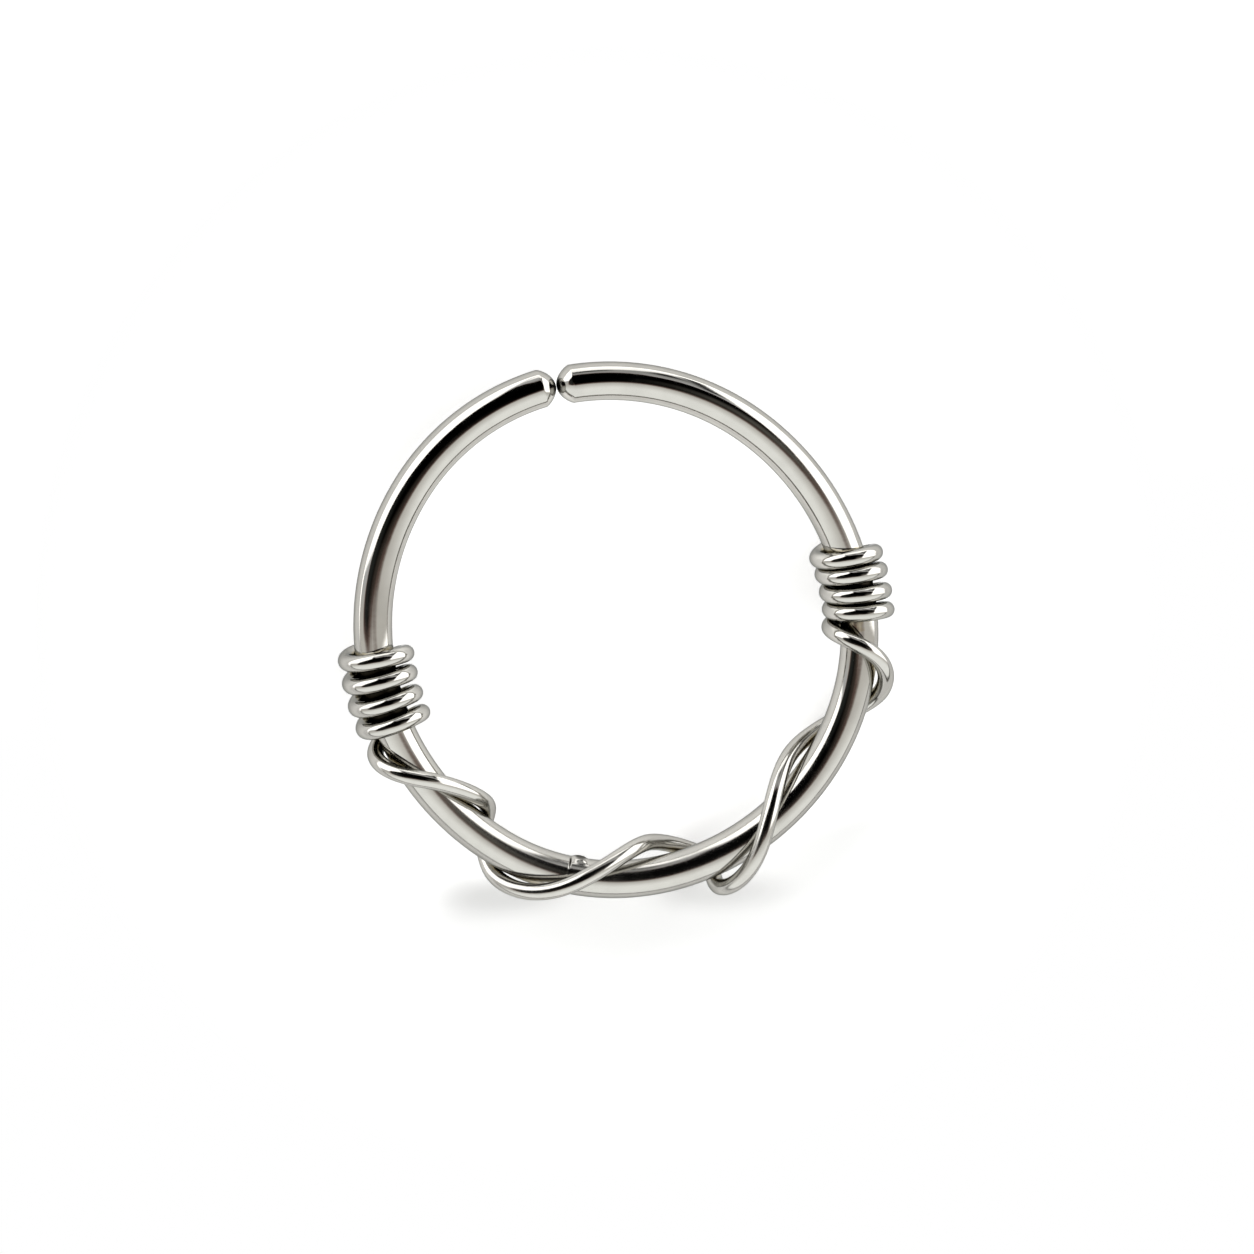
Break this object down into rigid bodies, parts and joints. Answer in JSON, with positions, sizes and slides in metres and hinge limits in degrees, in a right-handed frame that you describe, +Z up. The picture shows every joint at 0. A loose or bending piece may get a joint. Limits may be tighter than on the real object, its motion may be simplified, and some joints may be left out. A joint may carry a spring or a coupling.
{
  "type": "twisted hoop ring",
  "caption": "Springy round-wire hoop for body jewellery, open between two domed ends, with a finer wire coiled at each side and wrapped in a loose spiral round its lower half.",
  "frame": {"origin": "under the middle of the hoop, on the surface that the ring lies on", "axes": "+Z up along the hoop's axis, +Y towards the opening between the ends, +X to the right seen from above with the opening at the far side"},
  "size_m": [0.0148, 0.0141, 0.0021],
  "materials": {
    "hoop_steel": "mirror-polished stainless steel, slightly warm",
    "wrap_steel": "mirror-polished stainless steel, slightly warm"
  },
  "bodies": {
    "root": {"hoop": "hoop_steel", "wrap_wire": "wrap_steel"}
  },
  "joints": []
}
